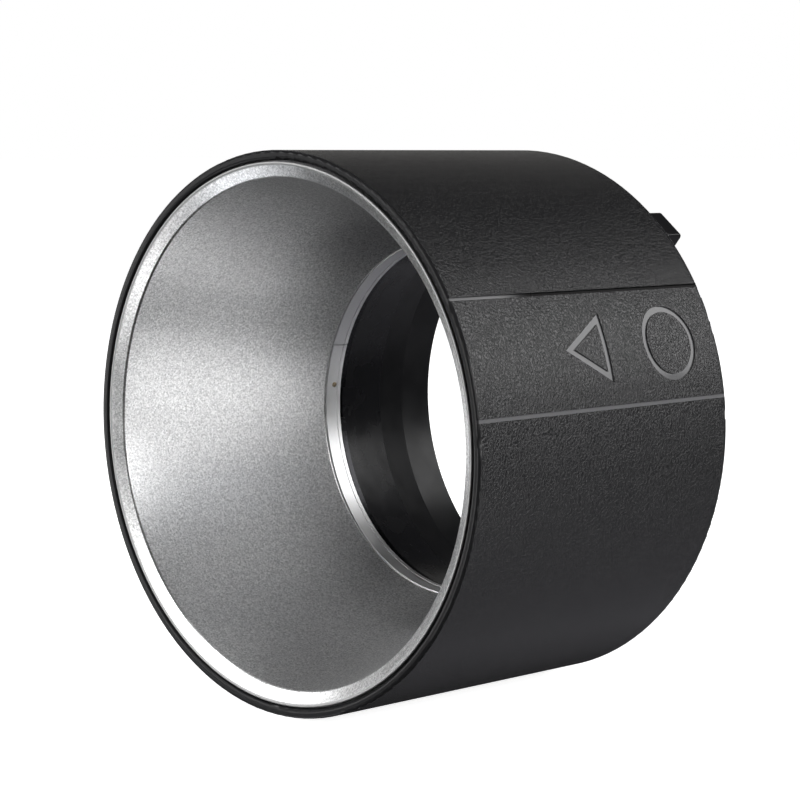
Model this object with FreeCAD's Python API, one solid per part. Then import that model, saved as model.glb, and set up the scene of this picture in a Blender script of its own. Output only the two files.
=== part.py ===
"""Short cylindrical reflector hood that locks onto the front of a studio flash head.

Frame: millimetres, +Z up. The optical axis is Y. The mouth looks along -Y and the lamp
head is on the +Y side. The origin is the centre of the rear seat face, where the hood
rests against the lamp head. Stations along the axis are depths behind the front rim.
Angles turn from +X up towards +Z, as seen when looking into the mouth.
"""
import FreeCAD
import Part

import math
import os

# Overall envelope
SHELL_RADIUS = 65.0
SHELL_DEPTH = 82.7
SPIGOT_LENGTH = 15.7
WALL = 2.2
RIM_ROUND = 0.7
RIM_INNER_ROUND = 0.9
EDGE_BREAK = 0.4
FIT_GAP = 0.05

# Reflector bowl: a sheet-metal paraboloid with a flared lip
SHEET = 0.9
LIP_GAP = 0.4
LIP_LAND = 0.5
LIP_ROUND = 0.3
CREASE_RADIUS = 58.9
CREASE_DEPTH = 2.0
CREASE_ROUND = 0.8
THROAT_RADIUS = 43.55
THROAT_DEPTH = 55.2
THROAT_ROUND = 0.35
TAIL_STEP = 0.55
TAIL_LENGTH = 4.2
CURVE_STEPS = 12

# Gasket and ledge behind the lip
LEDGE_RADIUS = 60.3
GASKET_DEPTH = 2.5
GASKET_THICKNESS = 0.8
LEDGE_THICKNESS = 2.2

# Polished ring that lines the throat
RING_GAP = 0.3
RING_LENGTH = 4.4
RING_TAPER = 0.5
RING_BEVEL = 0.2
RING_LINE_WIDTH = 0.25
RING_LINE_DEPTH = 0.15
RING_LINE_BACKSET = 1.1
RING_JOINT_ANGLE = 158.9
RING_JOINT_GAP = 0.3
PIN_COUNT = 3
PIN_RADIUS = 0.6
PIN_GAP = 0.12
PIN_ANGLE = 173.3
PIN_DEPTH = 57.8
PIN_LENGTH = 4.6
PIN_HEAD_RISE = 0.2

# Soft ring between the bowl and the collar
THROAT_GASKET_DEPTH = 55.1
THROAT_GASKET_LENGTH = 1.35
THROAT_GASKET_RADIUS = 47.6

# Snap ring behind the polished ring
SNAP_DEPTH = 60.5
SNAP_LENGTH = 2.0
SNAP_INNER = 43.9
SNAP_OUTER = 46.2
SNAP_GAP_ANGLE = 179.9
SNAP_GAP_WIDTH = 7.9
SNAP_CLEARANCE = 0.1
SNAP_BEAD = 0.3

# Collar that carries the throat
COLLAR_DEPTH = 56.5
COLLAR_MOUTH = 45.3
COLLAR_END_RADIUS = 47.35
COLLAR_WALL_FRONT = 49.2
COLLAR_WALL_REAR = 50.2
FLANGE_RADIUS = 60.5
FLANGE_THICKNESS = 2.1

# Bayonet ring with its spigot and locking lugs
BAYONET_MOUTH = 48.1
BORE_RADIUS = 49.9
BORE_LENGTH = 10.0
SPIGOT_RADIUS = 51.8
LUG_COUNT = 3
LUG_ANGLE = 51.0
LUG_RADIUS = 61.0
LUG_WIDTH = 8.5
LUG_BACK = 11.6
LUG_THICKNESS = 6.4
LUG_CORNER_ROUND = 1.2
LUG_EDGE_ROUND = 0.5

# Rear plate and its screws
PLATE_THICKNESS = 2.5
SEAL_INNER = 52.6
SEAL_OUTER = 54.0
SEAL_THICKNESS = 0.9
SCREW_COUNT = 6
SCREW_ANGLE = 21.0
SCREW_CIRCLE = 57.2
SCREW_RADIUS = 1.5
SCREW_HEAD = 2.75
SCREW_LENGTH = 10.0
SCREW_SINK = 0.15
DRIVE_LENGTH = 3.2
DRIVE_WIDTH = 0.7
DRIVE_DEPTH = 1.1
INSERT_RADIUS = 2.3
INSERT_LENGTH = 5.0
BOSS_RADIUS = 4.0
BOSS_LENGTH = 9.0

# Shallow marks pressed into the outside of the shell
MARK_DEPTH = 0.3
PANEL_ANGLE = 19.2
PANEL_HALF_ANGLE = 11.9
GROOVE_WIDTH = 0.85
TRIANGLE_DEPTH = 30.7
TRIANGLE_HEIGHT = 13.8
TRIANGLE_BASE = 16.1
TRIANGLE_LINE = 1.5
DISC_DEPTH = 65.7
DISC_RADIUS = 8.8
DISC_LINE = 1.5

# Stations that follow from the sizes above
INNER_RADIUS = SHELL_RADIUS - WALL
LIP_RADIUS = INNER_RADIUS - LIP_GAP
TAIL_INNER = THROAT_RADIUS + TAIL_STEP
TAIL_OUTER = TAIL_INNER + SHEET
PLATE_FRONT = SHELL_DEPTH - PLATE_THICKNESS
BAYONET_FRONT = PLATE_FRONT - FIT_GAP - FLANGE_THICKNESS
FLANGE_FRONT = BAYONET_FRONT - FIT_GAP - FLANGE_THICKNESS
BOSS_END = FLANGE_FRONT - FIT_GAP
SPIGOT_END = SHELL_DEPTH + SPIGOT_LENGTH

AXIS = FreeCAD.Vector(0, 1, 0)
ORIGIN = FreeCAD.Vector(0, 0, 0)
CLEAR = 1.0


def at(depth, radius):
    """A point in the half plane that is turned about the optical axis."""
    return FreeCAD.Vector(radius, depth - SHELL_DEPTH, 0)


def turned(edges):
    """The solid swept by a closed outline that is turned once about the axis."""
    return Part.Face(Part.Wire(edges)).revolve(ORIGIN, AXIS, 360)


def lathe(*outline):
    """A turned solid with a straight-sided outline of (depth, radius) corners."""
    corners = [at(depth, radius) for depth, radius in outline]
    return turned(Part.makePolygon(corners + corners[:1]).Edges)


def ring(front, back, inner, outer):
    """A plain ring with a rectangular section."""
    return lathe((front, inner), (back, inner), (back, outer), (front, outer))


def place(shape, angle):
    """The shape turned about the optical axis, from +X towards +Z."""
    copy = shape.copy()
    copy.rotate(ORIGIN, AXIS, -angle)
    return copy


def spaced(shape, count, first_angle):
    """Equal copies of the shape around the axis."""
    return [place(shape, first_angle + 360.0 * index / count) for index in range(count)]


def round_edges(solid, size, *circles):
    """Round the circular edges that lie at the given (depth, radius) places."""
    chosen = [edge for edge in solid.Edges if is_circle(edge, circles)]
    return solid.makeFillet(size, chosen)


def is_circle(edge, circles):
    """Whether the edge is a full circle about the axis at one of the places."""
    if not isinstance(edge.Curve, Part.Circle):
        return False
    depth = edge.Curve.Center.y + SHELL_DEPTH
    off_axis = math.hypot(edge.Curve.Center.x, edge.Curve.Center.z)
    near = 0.01
    return off_axis < near and any(
        abs(depth - place_depth) < near and abs(edge.Curve.Radius - radius) < near
        for place_depth, radius in circles)


def radial_rod(depth, radius, start, end):
    """A round rod that points outwards along +X at the given depth."""
    return Part.makeCylinder(radius, end - start, at(depth, start), FreeCAD.Vector(1, 0, 0))


def axial_rod(front, back, radius, off_axis):
    """A round rod parallel to the optical axis, off_axis from it along +X."""
    return Part.makeCylinder(radius, back - front, at(front, off_axis), AXIS)


def bowl_radius(depth):
    """Inner radius of the paraboloid between the crease and the throat."""
    share = (depth - CREASE_DEPTH) / (THROAT_DEPTH - CREASE_DEPTH)
    return math.sqrt(CREASE_RADIUS ** 2 + share * (THROAT_RADIUS ** 2 - CREASE_RADIUS ** 2))


def bowl_curve(start, end, offset):
    """The paraboloid's outline between two depths, moved outwards by the offset."""
    depths = [start + (end - start) * step / CURVE_STEPS for step in range(CURVE_STEPS + 1)]
    curve = Part.BSplineCurve()
    curve.interpolate([at(depth, bowl_radius(depth) + offset) for depth in depths])
    return curve.toShape()


def line(*points):
    """Straight edges through (depth, radius) points."""
    return Part.makePolygon([at(depth, radius) for depth, radius in points]).Edges


def outer_shell():
    """Moulded tube with a ledge for the bowl, screw bosses and pressed marks."""
    tube = ring(0, SHELL_DEPTH, INNER_RADIUS, SHELL_RADIUS)
    tube = round_edges(tube, RIM_ROUND, (0, SHELL_RADIUS), (SHELL_DEPTH, SHELL_RADIUS))
    tube = round_edges(tube, RIM_INNER_ROUND, (0, INNER_RADIUS))
    ledge_front = GASKET_DEPTH + GASKET_THICKNESS
    ledge = lathe((ledge_front, LEDGE_RADIUS),
                  (ledge_front + LEDGE_THICKNESS, LEDGE_RADIUS),
                  (ledge_front + LEDGE_THICKNESS + WALL, INNER_RADIUS),
                  (ledge_front + LEDGE_THICKNESS + WALL, INNER_RADIUS + FIT_GAP),
                  (ledge_front, INNER_RADIUS + FIT_GAP))
    bosses = spaced(shell_boss(), SCREW_COUNT, SCREW_ANGLE)
    body = tube.fuse([ledge] + bosses)
    holes = spaced(insert_pocket(), SCREW_COUNT, SCREW_ANGLE)
    return body.cut(holes + shell_marks()).removeSplitter()


def shell_boss():
    """One screw boss with the web that ties it to the wall."""
    post = axial_rod(BOSS_END - BOSS_LENGTH, BOSS_END, BOSS_RADIUS, SCREW_CIRCLE)
    web = Part.makeBox(INNER_RADIUS - SCREW_CIRCLE + FIT_GAP, BOSS_LENGTH, 2 * BOSS_RADIUS,
                       at(BOSS_END - BOSS_LENGTH, SCREW_CIRCLE) - FreeCAD.Vector(0, 0, BOSS_RADIUS))
    within_shell = axial_rod(BOSS_END - BOSS_LENGTH, BOSS_END, INNER_RADIUS + FIT_GAP, 0)
    return post.fuse(web).common(within_shell)


def insert_pocket():
    """The blind pocket in a boss for its threaded insert and the screw's tip."""
    pocket = axial_rod(BOSS_END - INSERT_LENGTH, BOSS_END + CLEAR, INSERT_RADIUS, SCREW_CIRCLE)
    tip = axial_rod(BOSS_END - BOSS_LENGTH + CLEAR, BOSS_END, SCREW_RADIUS + FIT_GAP, SCREW_CIRCLE)
    return pocket.fuse(tip)


def shell_marks():
    """The two long grooves, the triangle outline and the plain ring."""
    skin = ring(-CLEAR, SHELL_DEPTH + CLEAR, SHELL_RADIUS - MARK_DEPTH, SHELL_RADIUS + CLEAR)
    grooves = [place(long_groove(), PANEL_ANGLE + side * PANEL_HALF_ANGLE) for side in (-1, 1)]
    symbols = [place(symbol, PANEL_ANGLE) for symbol in (triangle_outline(), disc_outline())]
    return [mark.common(skin) for mark in grooves + symbols]


def long_groove():
    """A narrow groove from the front rim to the rear rim."""
    corner = at(-CLEAR, SHELL_RADIUS - CLEAR) - FreeCAD.Vector(0, 0, GROOVE_WIDTH / 2)
    return Part.makeBox(2 * CLEAR, SHELL_DEPTH + 2 * CLEAR, GROOVE_WIDTH, corner)


def triangle_prism(inset):
    """A triangle that points to the mouth, with each side moved inwards by the inset."""
    half_base = TRIANGLE_BASE / 2
    slant = math.hypot(TRIANGLE_HEIGHT, half_base)
    tip = TRIANGLE_DEPTH + inset * slant / half_base
    base = TRIANGLE_DEPTH + TRIANGLE_HEIGHT - inset
    half = (base - tip) * half_base / TRIANGLE_HEIGHT
    start = SHELL_RADIUS - TRIANGLE_HEIGHT / 2
    corners = [at(tip, start), at(base, start), at(base, start)]
    corners[1].z = -half
    corners[2].z = half
    face = Part.Face(Part.makePolygon(corners + corners[:1]))
    return face.extrude(FreeCAD.Vector(TRIANGLE_HEIGHT, 0, 0))


def triangle_outline():
    """The triangle's line, left between an outer and an inner triangle."""
    return triangle_prism(0).cut(triangle_prism(TRIANGLE_LINE))


def disc_outline():
    """A plain ring whose own axis is radial."""
    start = SHELL_RADIUS - DISC_RADIUS
    end = SHELL_RADIUS + DISC_RADIUS
    outer = radial_rod(DISC_DEPTH, DISC_RADIUS, start, end)
    return outer.cut(radial_rod(DISC_DEPTH, DISC_RADIUS - DISC_LINE, start, end))


def lip_gasket():
    """Heat-proof strip between the bowl's lip and the shell's ledge."""
    gap = 2 * FIT_GAP
    return ring(GASKET_DEPTH, GASKET_DEPTH + GASKET_THICKNESS - FIT_GAP,
                LEDGE_RADIUS + gap, INNER_RADIUS - gap)


def reflector_bowl():
    """One skin of sheet metal: flared lip, paraboloid and straight tail."""
    slope = (LIP_RADIUS - CREASE_RADIUS) / CREASE_DEPTH
    back_crease = CREASE_DEPTH + SHEET / 2
    tail_end = THROAT_DEPTH + TAIL_LENGTH
    inner = line((0, LIP_RADIUS), (CREASE_DEPTH, CREASE_RADIUS))
    inner.append(bowl_curve(CREASE_DEPTH, THROAT_DEPTH, 0))
    tail = line((THROAT_DEPTH, THROAT_RADIUS), (THROAT_DEPTH, TAIL_INNER), (tail_end, TAIL_INNER),
                (tail_end, TAIL_OUTER), (THROAT_DEPTH - SHEET, TAIL_OUTER),
                (THROAT_DEPTH - SHEET, bowl_radius(THROAT_DEPTH - SHEET) + SHEET))
    outer = bowl_curve(THROAT_DEPTH - SHEET, back_crease, SHEET)
    back = line((back_crease, bowl_radius(back_crease) + SHEET),
                (LIP_LAND + SHEET / slope, LIP_RADIUS), (0, LIP_RADIUS))
    bowl = turned(inner + tail + [outer] + back)
    bowl = round_edges(bowl, CREASE_ROUND, (CREASE_DEPTH, CREASE_RADIUS))
    bowl = round_edges(bowl, LIP_ROUND, (0, LIP_RADIUS))
    bowl = round_edges(bowl, THROAT_ROUND, (THROAT_DEPTH, THROAT_RADIUS))
    return bowl.cut(pin_holes())


def pin_holes():
    """Clearance holes for the pins that tie the ring, the bowl and the collar."""
    rod = radial_rod(PIN_DEPTH, PIN_RADIUS + PIN_GAP, THROAT_RADIUS - 2 * CLEAR,
                     THROAT_RADIUS + PIN_LENGTH)
    return spaced(rod, PIN_COUNT, PIN_ANGLE)


def throat_ring():
    """Polished split ring with a fine turned line, fitted inside the bowl's tail."""
    front = THROAT_DEPTH + RING_GAP
    back = front + RING_LENGTH
    back_radius = THROAT_RADIUS - RING_TAPER
    outer = TAIL_INNER - FIT_GAP
    band = lathe((front, THROAT_RADIUS), (back - RING_BEVEL, back_radius),
                 (back, back_radius + RING_BEVEL), (back, outer), (front, outer))
    line_back = back - RING_LINE_BACKSET
    bottom = back_radius + RING_LINE_DEPTH + RING_LINE_WIDTH
    turned_line = ring(line_back - RING_LINE_WIDTH, line_back, THROAT_RADIUS - CLEAR, bottom)
    joint = Part.makeBox(3 * CLEAR, RING_LENGTH + 2 * CLEAR, RING_JOINT_GAP,
                         at(front - CLEAR, THROAT_RADIUS - CLEAR))
    return band.cut([turned_line, place(joint, RING_JOINT_ANGLE)] + pin_holes())


def throat_pins():
    """The pins, each with a low domed head on the inside of the ring."""
    face = THROAT_RADIUS - RING_TAPER * (PIN_DEPTH - THROAT_DEPTH) / RING_LENGTH
    shank = radial_rod(PIN_DEPTH, PIN_RADIUS, face, THROAT_RADIUS + PIN_LENGTH - FIT_GAP)
    dome_radius = (PIN_RADIUS ** 2 + PIN_HEAD_RISE ** 2) / (2 * PIN_HEAD_RISE)
    dome = Part.makeSphere(dome_radius, at(PIN_DEPTH, face - PIN_HEAD_RISE + dome_radius))
    head = dome.common(radial_rod(PIN_DEPTH, PIN_RADIUS, face - CLEAR, face + FIT_GAP))
    return Part.makeCompound(spaced(shank.fuse(head).removeSplitter(), PIN_COUNT, PIN_ANGLE))


def throat_gasket():
    """Soft ring that takes up the gap between the bowl and the collar."""
    return ring(THROAT_GASKET_DEPTH, THROAT_GASKET_DEPTH + THROAT_GASKET_LENGTH,
                TAIL_OUTER + FIT_GAP, THROAT_GASKET_RADIUS)


def snap_ring():
    """Sprung ring with an open gap, seated in a groove of the collar."""
    back = SNAP_DEPTH + SNAP_LENGTH
    body = lathe((SNAP_DEPTH, SNAP_INNER + SNAP_BEAD), (SNAP_DEPTH + SNAP_BEAD, SNAP_INNER),
                 (back - SNAP_BEAD, SNAP_INNER), (back, SNAP_INNER + SNAP_BEAD),
                 (back, SNAP_OUTER), (SNAP_DEPTH, SNAP_OUTER))
    gap = Part.makeBox(2 * (SNAP_OUTER - SNAP_INNER), SNAP_LENGTH + 2 * CLEAR, SNAP_GAP_WIDTH,
                       at(SNAP_DEPTH - CLEAR, SNAP_INNER - CLEAR)
                       - FreeCAD.Vector(0, 0, SNAP_GAP_WIDTH / 2))
    return body.cut(place(gap, SNAP_GAP_ANGLE))


def throat_collar():
    """Black collar: front seat for the bowl's tail, ring groove, flare and flange."""
    groove = ring(SNAP_DEPTH - SNAP_CLEARANCE, SNAP_DEPTH + SNAP_LENGTH + SNAP_CLEARANCE,
                  COLLAR_MOUTH - CLEAR, SNAP_OUTER + SNAP_CLEARANCE)
    back = FLANGE_FRONT + FLANGE_THICKNESS
    body = lathe((COLLAR_DEPTH, TAIL_OUTER + FIT_GAP), (SNAP_DEPTH, TAIL_OUTER + FIT_GAP),
                 (SNAP_DEPTH + SNAP_LENGTH, COLLAR_MOUTH), (back, COLLAR_END_RADIUS),
                 (back, FLANGE_RADIUS), (FLANGE_FRONT, FLANGE_RADIUS),
                 (FLANGE_FRONT, COLLAR_WALL_REAR), (COLLAR_DEPTH, COLLAR_WALL_FRONT))
    return body.cut([groove] + pin_holes() + screw_passages())


def screw_passages():
    """Clearance holes through the flanges for the rear screws."""
    rod = axial_rod(FLANGE_FRONT - CLEAR, SHELL_DEPTH + CLEAR, SCREW_RADIUS + 4 * FIT_GAP, SCREW_CIRCLE)
    return spaced(rod, SCREW_COUNT, SCREW_ANGLE)


def bayonet_ring():
    """Black metal ring: flange, flared bore with a straight end, spigot and lugs."""
    bore_start = SPIGOT_END - BORE_LENGTH
    flange_back = PLATE_FRONT - FIT_GAP
    body = lathe((BAYONET_FRONT, BAYONET_MOUTH), (bore_start, BORE_RADIUS),
                 (SPIGOT_END, BORE_RADIUS), (SPIGOT_END, SPIGOT_RADIUS - EDGE_BREAK),
                 (SPIGOT_END - EDGE_BREAK, SPIGOT_RADIUS), (flange_back, SPIGOT_RADIUS),
                 (flange_back, FLANGE_RADIUS), (BAYONET_FRONT, FLANGE_RADIUS))
    lugs = spaced(lug(), LUG_COUNT, LUG_ANGLE)
    return body.fuse(lugs).cut(screw_passages()).removeSplitter()


def lug():
    """One locking lug, with its outer rear corner and its long outer edges rounded."""
    back = SHELL_DEPTH + LUG_BACK
    root = (BORE_RADIUS + SPIGOT_RADIUS) / 2
    block = Part.makeBox(LUG_RADIUS - root, LUG_THICKNESS, LUG_WIDTH,
                         at(back - LUG_THICKNESS, root) - FreeCAD.Vector(0, 0, LUG_WIDTH / 2))
    block = block.makeFillet(LUG_CORNER_ROUND, edges_at(block, x=LUG_RADIUS, y=LUG_BACK))
    long_edges = (edges_at(block, x=LUG_RADIUS, z=-LUG_WIDTH / 2)
                  + edges_at(block, x=LUG_RADIUS, z=LUG_WIDTH / 2))
    return block.makeFillet(LUG_EDGE_ROUND, long_edges)


def edges_at(solid, **coordinates):
    """The edges whose middles have the given coordinates."""
    return [edge for edge in solid.Edges
            if all(abs(getattr(edge.CenterOfMass, axis) - value) < FIT_GAP
                   for axis, value in coordinates.items())]


def rear_plate():
    """Closing plate with countersunk holes and a shallow groove for the light seal."""
    plate = ring(PLATE_FRONT, SHELL_DEPTH, SPIGOT_RADIUS + 3 * FIT_GAP, INNER_RADIUS - 2 * FIT_GAP)
    seat = ring(SHELL_DEPTH - SEAL_THICKNESS - FIT_GAP, SHELL_DEPTH + CLEAR,
                SEAL_INNER - FIT_GAP, SEAL_OUTER + FIT_GAP)
    mouth = axial_rod(SHELL_DEPTH - SCREW_SINK, SHELL_DEPTH + CLEAR, SCREW_HEAD + FIT_GAP, SCREW_CIRCLE)
    sinks = spaced(screw_head(FIT_GAP).fuse(mouth), SCREW_COUNT, SCREW_ANGLE)
    return plate.cut([seat] + sinks + screw_passages())


def screw_head(margin):
    """Countersunk head just below the seat face, grown all round by the margin."""
    height = SCREW_HEAD - SCREW_RADIUS
    front = SHELL_DEPTH - SCREW_SINK - height
    return Part.makeCone(SCREW_RADIUS + margin, SCREW_HEAD + margin, height,
                         at(front, SCREW_CIRCLE), AXIS)


def rear_screws():
    """Countersunk machine screws with a cross drive."""
    top = SHELL_DEPTH - SCREW_SINK
    shank = axial_rod(top - SCREW_LENGTH, top - SCREW_HEAD + SCREW_RADIUS, SCREW_RADIUS, SCREW_CIRCLE)
    screw = screw_head(0).fuse(shank).removeSplitter()
    slots = [drive_slot(DRIVE_LENGTH, DRIVE_WIDTH), drive_slot(DRIVE_WIDTH, DRIVE_LENGTH)]
    return Part.makeCompound(spaced(screw.cut(slots), SCREW_COUNT, SCREW_ANGLE))


def drive_slot(width, height):
    """One bar of the cross in a screw's head."""
    bottom = at(SHELL_DEPTH - SCREW_SINK - DRIVE_DEPTH, SCREW_CIRCLE)
    corner = bottom - FreeCAD.Vector(width / 2, 0, height / 2)
    return Part.makeBox(width, DRIVE_DEPTH + CLEAR, height, corner)


def threaded_inserts():
    """Brass sleeves pressed into the bosses."""
    sleeve = axial_rod(BOSS_END - INSERT_LENGTH, BOSS_END, INSERT_RADIUS - FIT_GAP, SCREW_CIRCLE)
    hole = axial_rod(BOSS_END - BOSS_LENGTH, BOSS_END + CLEAR, SCREW_RADIUS + FIT_GAP, SCREW_CIRCLE)
    return Part.makeCompound(spaced(sleeve.cut(hole), SCREW_COUNT, SCREW_ANGLE))


def light_seal():
    """Soft ring set flush in the seat face."""
    return ring(SHELL_DEPTH - SEAL_THICKNESS, SHELL_DEPTH, SEAL_INNER, SEAL_OUTER)


PIECES = (outer_shell, lip_gasket, reflector_bowl, throat_ring, throat_pins, throat_gasket,
          snap_ring, throat_collar, bayonet_ring, rear_plate, rear_screws, threaded_inserts,
          light_seal)

os.makedirs("parts", exist_ok=True)
for piece in PIECES:
    shape = piece()
    assert shape.isValid(), piece.__name__
    shape.exportStep("parts/" + piece.__name__ + ".step")
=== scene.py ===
"""Looks for the reflector hood: procedural materials, floor, soft studio light and camera.

The row frame is in metres, +Z up. The optical axis is Y, the mouth looks along -Y, and
the rear seat face is at Y = 0. Angles turn from +X up towards +Z.
"""

import functools
import math

import bpy
from mathutils import Matrix, Vector


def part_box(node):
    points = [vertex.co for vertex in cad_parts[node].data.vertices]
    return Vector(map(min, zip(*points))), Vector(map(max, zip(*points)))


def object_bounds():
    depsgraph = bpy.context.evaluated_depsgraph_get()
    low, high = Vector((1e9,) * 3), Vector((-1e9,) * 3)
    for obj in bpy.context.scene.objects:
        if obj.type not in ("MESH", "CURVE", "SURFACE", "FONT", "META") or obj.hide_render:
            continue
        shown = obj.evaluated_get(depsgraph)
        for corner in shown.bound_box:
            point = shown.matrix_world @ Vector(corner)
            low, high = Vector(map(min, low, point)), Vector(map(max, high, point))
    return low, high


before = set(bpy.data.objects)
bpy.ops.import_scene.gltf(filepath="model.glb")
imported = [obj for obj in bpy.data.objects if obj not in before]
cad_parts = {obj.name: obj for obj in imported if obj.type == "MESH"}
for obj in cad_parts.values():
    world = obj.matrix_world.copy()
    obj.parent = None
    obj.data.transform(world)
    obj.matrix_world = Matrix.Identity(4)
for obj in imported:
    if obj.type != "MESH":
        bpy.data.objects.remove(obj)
cad_low, cad_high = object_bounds()

MM = 0.001
SHELL_LOW, SHELL_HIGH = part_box("outer_shell")
RADIUS = (SHELL_HIGH.x - SHELL_LOW.x) / 2
FRONT = Vector((0, SHELL_LOW.y, 0))
MIDDLE = Vector((0, SHELL_LOW.y / 2, 0))

# Camera, as multiples of the shell's radius and angles in degrees
CAMERA_AZIMUTH = 45.98
CAMERA_PITCH = 5.76
CAMERA_DISTANCE = 8.584
CAMERA_RIGHT = 0.4386
CAMERA_UP = 0.1262
LENS_MM = 109.94
SENSOR_MM = 36.0

# Studio, in metres
LIGHT_DISTANCE = 1.2
FLOOR_REACH = 40.0
AMBIENT = (0.02, 0.02, 0.02, 1)
# The floor's glow, and the distances from its middle at which it has these values
FLOOR_GLOW = (0.88, 1.0)
FLOOR_GLOW_AT = (RADIUS, 8 * RADIUS)

# Two long grooves run at equal angles above and below the panel's middle
PANEL_ANGLE = math.radians(19.2)
GROOVE_ANGLE = math.radians(11.9)
GROOVE_HALF_WIDTH = math.radians(0.37)

# The masks of the materials are soft steps. Each pair is a step's start and end.
# Depth below the shell's outer surface, for the grain and for grooves and marks
GRAIN_FADE = (0.15 * MM, 0.06 * MM)
SUNK_FROM = (0.20 * MM, 0.28 * MM)
SUNK_TO = (0.60 * MM, 0.40 * MM)
# Distance from the shell's front and rear edges, for the smooth rims
FRONT_ROUND = (0.4 * MM, 0.8 * MM)
REAR_ROUND = (0.7 * MM, 1.1 * MM)
# Distance from the front edge, for the painted shade along the upper groove's rear length
GROOVE_PAINTED_SHADE = (12 * MM, 26 * MM)
# Angle from the upper groove's middle, for its painted shade, and angle of the lower groove's
# upper edge, for its painted reflection
UPPER_GROOVE = (1.15 * GROOVE_HALF_WIDTH, GROOVE_HALF_WIDTH)
LOWER_GROOVE = (PANEL_ANGLE - 0.9 * GROOVE_ANGLE, PANEL_ANGLE - 0.95 * GROOVE_ANGLE)
# Radius, for the darker, rougher edge of the bowl's lip
LIP_EDGE = (0.944 * RADIUS, 0.951 * RADIUS)

# Noise values mostly lie between these two
NOISE_LOW, NOISE_HIGH = 0.3, 0.7

# Socket numbers of the Mix node, whose sockets share their names
MIX_FACTOR = 0
MIX_NUMBERS = (2, 3)
MIX_COLOURS = (6, 7)
MIX_COLOUR_OUTPUT = 2


class Graph:
    """A small helper that builds one material's node tree."""

    def __init__(self, name):
        self.material = bpy.data.materials.new(name)
        self.material.use_nodes = True
        self.tree = self.material.node_tree
        self.shader = self.tree.nodes["Principled BSDF"]
        self.point = self.add("TexCoord", output="Object")

    def add(self, kind, inputs=None, output=0, **settings):
        """Adds a node, sets its inputs by name or index, and returns one output."""
        node = self.tree.nodes.new("ShaderNode" + kind)
        for key, value in settings.items():
            setattr(node, key, value)
        for key, value in (inputs or {}).items():
            self.put(node.inputs[key], value)
        return node.outputs[output]

    def put(self, socket, value):
        """Links a socket to another, or gives it a plain value."""
        if isinstance(value, bpy.types.NodeSocket):
            self.tree.links.new(value, socket)
        else:
            socket.default_value = value

    def set(self, **inputs):
        """Sets the shader's inputs; an underscore in a key stands for a space."""
        for key, value in inputs.items():
            self.put(self.shader.inputs[key.replace("_", " ")], value)

    def math(self, operation, first, second=0.0):
        """One step of arithmetic on numbers or sockets."""
        return self.add("Math", {0: first, 1: second}, operation=operation)

    def ramp(self, value, low, high, out_low=0.0, out_high=1.0):
        """A smooth step of the value from low..high to out_low..out_high."""
        inputs = {"Value": value, "From Min": low, "From Max": high,
                  "To Min": out_low, "To Max": out_high}
        return self.add("MapRange", inputs, interpolation_type="SMOOTHSTEP")

    def noise(self, size, detail=2.0, roughness=0.5, distortion=0.0, vector=None):
        """Noise whose features are about the given size in metres."""
        inputs = {"Vector": vector or self.point, "Scale": 1 / size, "Detail": detail,
                  "Roughness": roughness, "Distortion": distortion}
        return self.add("TexNoise", inputs)

    def patchy(self, size, detail, low, high):
        """A value that wanders from low to high in patches of the given size."""
        return self.ramp(self.noise(size, detail), NOISE_LOW, NOISE_HIGH, low, high)

    def flecks(self, size):
        """A random value for each cell of about the given size in metres."""
        cells = self.add("TexVoronoi", {"Vector": self.point, "Scale": 1 / size}, "Color")
        return self.add("SeparateColor", {"Color": cells})

    def blend(self, factor, first, second):
        """A blend of two numbers, each a number or a socket."""
        return self.add("Mix", dict(zip((MIX_FACTOR, *MIX_NUMBERS), (factor, first, second))))

    def colours(self, factor, first, second):
        """A blend of two colours, each a colour or a socket."""
        ends = [value if isinstance(value, bpy.types.NodeSocket) else (*value, 1)
                for value in (first, second)]
        return self.add("Mix", dict(zip((MIX_FACTOR, *MIX_COLOURS), (factor, *ends))),
                        MIX_COLOUR_OUTPUT, data_type="RGBA")

    def both(self, *masks):
        """Where all the masks hold."""
        return functools.reduce(lambda first, second: self.math("MULTIPLY", first, second), masks)

    def bump(self, height, depth, strength):
        """A normal bent by a height field; depth is the full height in metres."""
        return self.add("Bump", {"Height": height, "Distance": depth, "Strength": strength})

    def polar(self):
        """The point's radius from the optical axis, its angle and its Y."""
        node = self.tree.nodes.new("ShaderNodeSeparateXYZ")
        self.put(node.inputs[0], self.point)
        x, y, z = node.outputs
        square = self.math("ADD", self.math("MULTIPLY", x, x), self.math("MULTIPLY", z, z))
        return self.math("SQRT", square), self.math("ARCTAN2", z, x), y


def pebble(graph):
    """The height of the moulded grain: soft pebbles with finer ones on them."""
    coarse = graph.ramp(graph.noise(0.5 * MM, 2, 0.55, 0.4), 0.36, 0.64)
    fine = graph.math("MULTIPLY", graph.noise(0.22 * MM, 2), 0.5)
    return graph.math("ADD", coarse, fine)


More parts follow.
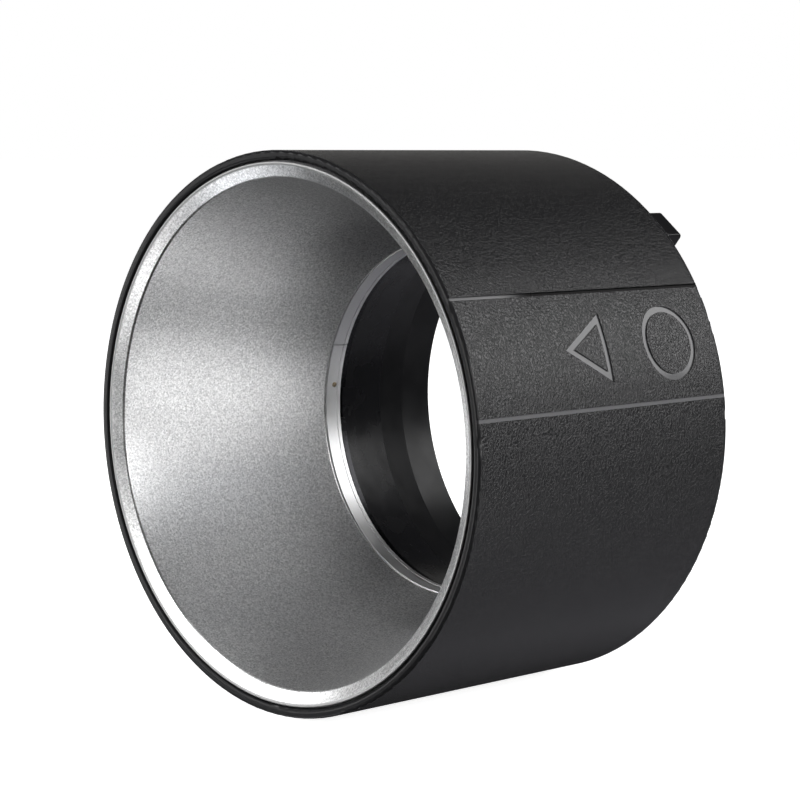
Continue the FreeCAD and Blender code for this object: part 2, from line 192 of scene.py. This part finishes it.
def shell_plastic():
    """Satin black moulded plastic; grained outside, smooth on rims, grooves and marks.

    The reference shows the lower groove pale and the upper one black behind its front part.
    Both look like reflections, which these lights don't give, so they are painted.
    """
    graph = Graph("shell_plastic")
    radius, angle, y = graph.polar()
    depth = graph.math("SUBTRACT", RADIUS, radius)
    from_front = graph.math("SUBTRACT", y, SHELL_LOW.y)
    from_rear = graph.math("SUBTRACT", SHELL_HIGH.y, y)
    above_panel = graph.math("SUBTRACT", angle, PANEL_ANGLE)
    from_groove = graph.math("ABSOLUTE", graph.math("SUBTRACT", above_panel, GROOVE_ANGLE))

    off_front = graph.ramp(from_front, *FRONT_ROUND)
    grained = graph.both(graph.ramp(depth, *GRAIN_FADE), off_front,
                         graph.ramp(from_rear, *REAR_ROUND))
    sunk = graph.both(graph.ramp(depth, *SUNK_FROM), graph.ramp(depth, *SUNK_TO), off_front)
    # Painted shade: the upper groove's floor turns near-black behind its front part
    painted_shade = graph.both(graph.ramp(from_groove, *UPPER_GROOVE),
                        graph.ramp(from_front, *GROOVE_PAINTED_SHADE))

    black = graph.colours(graph.noise(14 * MM, 3), (0.013, 0.013, 0.014), (0.017, 0.0167, 0.0175))
    # Grey of the sunk marks and grooves; the lower groove is paler, a painted reflection
    sunk_grey_and_painted_reflection = graph.colours(graph.ramp(angle, *LOWER_GROOVE),
                              (0.065, 0.065, 0.068), (0.15, 0.15, 0.155))
    plain = graph.colours(sunk, black, sunk_grey_and_painted_reflection)
    smooth_roughness = graph.ramp(sunk, 0, 1, 0.3, 0.18)
    # Little specular on the front rim, and almost none in the upper groove's painted shade
    specular = graph.both(graph.ramp(off_front, 0, 1, 0.1, 0.5),
                          graph.ramp(painted_shade, 0, 1, 1.0, 0.05))
    # The painted shade's near-black colour goes over the plain colour
    graph.set(Base_Color=graph.colours(painted_shade, plain, (0.002, 0.002, 0.002)),
              Roughness=graph.blend(grained, smooth_roughness, 0.21),
              Specular_IOR_Level=specular,
              Normal=graph.bump(graph.both(pebble(graph), grained), 0.09 * MM, 1.0))
    return graph.material


def bowl_silver():
    """Sand-blasted silver with a fine sparkle, darker grey and rougher at the lip's outer edge.
    """
    graph = Graph("bowl_silver")
    grit = graph.ramp(graph.noise(0.42 * MM, 3, 0.65), 0.35, 0.65, 0, 0.5)
    speckle = graph.math("ADD", graph.math("MULTIPLY", graph.flecks(0.36 * MM), 0.5), grit)
    edge = graph.ramp(graph.polar()[0], *LIP_EDGE)
    silver = graph.colours(speckle, (0.42, 0.42, 0.425), (1.0, 1.0, 1.0))
    graph.set(Base_Color=graph.colours(edge, silver, (0.3, 0.3, 0.3)),
              Metallic=0.92,
              Roughness=graph.blend(edge, graph.patchy(9 * MM, 3, 0.28, 0.31), 0.6),
              Normal=graph.bump(speckle, 0.008 * MM, 0.6))
    return graph.material


def turned_lines(graph, width, spacing):
    """A height field of fine lines round the axis; a small width makes them long."""
    radius, angle, y = graph.polar()
    vector = graph.add("CombineXYZ", {"X": graph.math("MULTIPLY", angle, width),
                                      "Y": graph.math("ADD", y, radius)})
    return graph.noise(spacing, 3, 0.6, 0, vector)


def polished_metal():
    """Polished metal with faint turning lines."""
    graph = Graph("polished_metal")
    graph.set(Base_Color=(0.93, 0.93, 0.935, 1),
              Metallic=1.0,
              Roughness=graph.patchy(4 * MM, 2, 0.40, 0.46),
              Normal=graph.bump(turned_lines(graph, 0.4 * MM, 0.12 * MM), 0.01 * MM, 0.4))
    return graph.material


def collar_gloss():
    """Glossy black moulded plastic with soft waves."""
    graph = Graph("collar_gloss")
    graph.set(Base_Color=(0.011, 0.011, 0.0125, 1),
              Roughness=graph.patchy(6 * MM, 4, 0.22, 0.30),
              Specular_IOR_Level=0.24,
              Normal=graph.bump(graph.noise(22 * MM, 2), 0.6 * MM, 0.6))
    return graph.material


def bayonet_black():
    """Black anodised metal with faint turning lines."""
    graph = Graph("bayonet_black")
    graph.set(Base_Color=(0.010, 0.010, 0.011, 1),
              Roughness=graph.patchy(5 * MM, 3, 0.28, 0.36),
              Specular_IOR_Level=0.2,
              Normal=graph.bump(turned_lines(graph, 0.5 * MM, 0.15 * MM), 0.01 * MM, 0.5))
    return graph.material


def plate_plastic():
    """Moulded plastic with a fine spark-eroded texture."""
    graph = Graph("plate_plastic")
    graph.set(Base_Color=(0.024, 0.024, 0.0255, 1),
              Roughness=graph.patchy(8 * MM, 3, 0.44, 0.54),
              Normal=graph.bump(graph.noise(0.3 * MM, 3, 0.6), 0.04 * MM, 0.6))
    return graph.material


def plain_metal(name, colour, low, high):
    """Metal of small turned parts, with a roughness from low to high."""
    graph = Graph(name)
    graph.set(Base_Color=(*colour, 1),
              Metallic=1.0,
              Roughness=graph.patchy(0.8 * MM, 3, low, high),
              Normal=graph.bump(graph.noise(0.15 * MM, 3), 0.01 * MM, 0.5))
    return graph.material


def soft_rubber(name, colour):
    """Matte rubber with a fine powdery bloom."""
    graph = Graph(name)
    bloom = tuple(1.5 * part for part in colour)
    graph.set(Base_Color=graph.colours(graph.noise(1.5 * MM, 4), colour, bloom),
              Roughness=0.75,
              Normal=graph.bump(graph.noise(0.25 * MM, 3), 0.03 * MM, 0.6))
    return graph.material


def finishes():
    """The finish of each CAD node."""
    silicone = soft_rubber("silicone", (0.20, 0.20, 0.205))
    return {
        "outer_shell": shell_plastic(),
        "reflector_bowl": bowl_silver(),
        "throat_ring": polished_metal(),
        "throat_pins": plain_metal("pin_brass", (0.45, 0.36, 0.25), 0.30, 0.42),
        "lip_gasket": silicone,
        "throat_gasket": silicone,
        "snap_ring": plain_metal("black_steel", (0.03, 0.03, 0.032), 0.2, 0.3),
        "throat_collar": collar_gloss(),
        "bayonet_ring": bayonet_black(),
        "rear_plate": plate_plastic(),
        "rear_screws": plain_metal("black_oxide", (0.09, 0.09, 0.092), 0.28, 0.4),
        "threaded_inserts": plain_metal("insert_brass", (0.72, 0.52, 0.25), 0.2, 0.34),
        "light_seal": soft_rubber("seal_rubber", (0.014, 0.014, 0.014)),
    }


def dress():
    """Gives every CAD node its finish."""
    for node, material in finishes().items():
        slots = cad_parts[node].data.materials
        slots.clear()
        slots.append(material)


def camera():
    """The camera at the viewing angle of the reference."""
    azimuth, pitch = math.radians(CAMERA_AZIMUTH), math.radians(CAMERA_PITCH)
    right = Vector((math.cos(azimuth), math.sin(azimuth), 0))
    ahead = Vector((-math.sin(azimuth) * math.cos(pitch), math.cos(azimuth) * math.cos(pitch),
                    -math.sin(pitch)))
    up = right.cross(ahead)
    place = FRONT + RADIUS * (CAMERA_RIGHT * right + CAMERA_UP * up - CAMERA_DISTANCE * ahead)
    data = bpy.data.cameras.new("camera")
    data.lens = LENS_MM
    data.sensor_width = SENSOR_MM
    shot = bpy.data.objects.new("camera", data)
    bpy.context.scene.collection.objects.link(shot)
    axes = Matrix((right, up, -ahead)).transposed().to_4x4()
    shot.matrix_world = Matrix.Translation(place) @ axes
    bpy.context.scene.camera = shot


WHITE = (1.0, 1.0, 1.0)
COOL = (0.95, 0.97, 1.0)
VIOLET = (0.93, 0.92, 1.0)
WARM = (1.0, 0.98, 0.94)

# Name, azimuth and elevation in degrees, width and height in metres, power in watts, colour.
# Azimuth 0 is in front of the mouth and 90 is at +X.
LIGHTS = (
    ("key_front", -20, 0, 0.42, 1.30, 17.0, WHITE),
    ("top_left", -40, 58, 0.45, 0.40, 3.0, WHITE),
    ("high_left", -50, 30, 0.60, 0.50, 5.0, WHITE),
    ("left", -60, -4, 0.42, 0.42, 3.0, WHITE),
    ("low_left", -55, -45, 0.50, 0.40, 2.2, COOL),
    ("right_front", 78, 16, 0.42, 0.42, 5.0, WHITE),
    ("low_side", 112, -28, 0.40, 0.60, 2.0, WHITE),
    ("side_softbox", 118, 27, 1.60, 0.66, 12.4, WHITE),
    ("floor_glow", 162, -48, 1.90, 1.20, 1.65, VIOLET),
    ("rear", 200, 0, 0.42, 0.42, 2.6, WHITE),
    ("backdrop", 226, 8, 0.80, 0.80, 0.40, WARM),
)


def softbox(name, azimuth, elevation, width, height, power, colour):
    """An area light aimed at the hood's middle."""
    turn, rise = math.radians(azimuth), math.radians(elevation)
    away = Vector((math.sin(turn) * math.cos(rise), -math.cos(turn) * math.cos(rise),
                   math.sin(rise)))
    data = bpy.data.lights.new(name, "AREA")
    data.shape = "RECTANGLE"
    data.size = width
    data.size_y = height
    data.energy = power
    data.color = colour
    lamp = bpy.data.objects.new(name, data)
    bpy.context.scene.collection.objects.link(lamp)
    lamp.location = MIDDLE + away * LIGHT_DISTANCE
    lamp.rotation_mode = "QUATERNION"
    lamp.rotation_quaternion = away.to_track_quat("Z", "Y")
    lamp.visible_camera = False


def studio():
    """Soft lights, and a world that the camera sees white and the hood sees nearly black."""
    for light in LIGHTS:
        softbox(*light)
    world = bpy.data.worlds.new("studio")
    world.use_nodes = True
    tree = world.node_tree
    backdrop = tree.nodes["Background"]
    backdrop.inputs["Color"].default_value = (*WHITE, 1)
    dim = tree.nodes.new("ShaderNodeBackground")
    dim.inputs["Color"].default_value = AMBIENT
    seen = tree.nodes.new("ShaderNodeLightPath")
    blend = tree.nodes.new("ShaderNodeMixShader")
    tree.links.new(seen.outputs["Is Camera Ray"], blend.inputs[0])
    tree.links.new(dim.outputs[0], blend.inputs[1])
    tree.links.new(backdrop.outputs[0], blend.inputs[2])
    tree.links.new(blend.outputs[0], tree.nodes["World Output"].inputs[0])
    bpy.context.scene.world = world
    bpy.context.scene.view_settings.view_transform = "Standard"


def pale_floor():
    """A wide pale floor that the hood rests on; it glows, so that it meets the backdrop."""
    mesh = bpy.data.meshes.new("floor")
    corners = [(x * FLOOR_REACH, y * FLOOR_REACH, cad_low.z)
               for x, y in ((-1, -1), (1, -1), (1, 1), (-1, 1))]
    mesh.from_pydata(corners, [], [(0, 1, 2, 3)])
    floor = bpy.data.objects.new("floor", mesh)
    bpy.context.scene.collection.objects.link(floor)
    graph = Graph("floor")
    distance = graph.add("VectorMath", {0: graph.point}, 1, operation="LENGTH")
    graph.set(Base_Color=(0.8, 0.8, 0.8, 1),
              Roughness=0.9,
              Specular_IOR_Level=0.0,
              Emission_Color=(*WHITE, 1),
              Emission_Strength=graph.ramp(distance, *FLOOR_GLOW_AT, *FLOOR_GLOW))
    mesh.materials.append(graph.material)
    floor.visible_glossy = False
    floor.visible_diffuse = False


dress()
camera()
studio()
pale_floor()
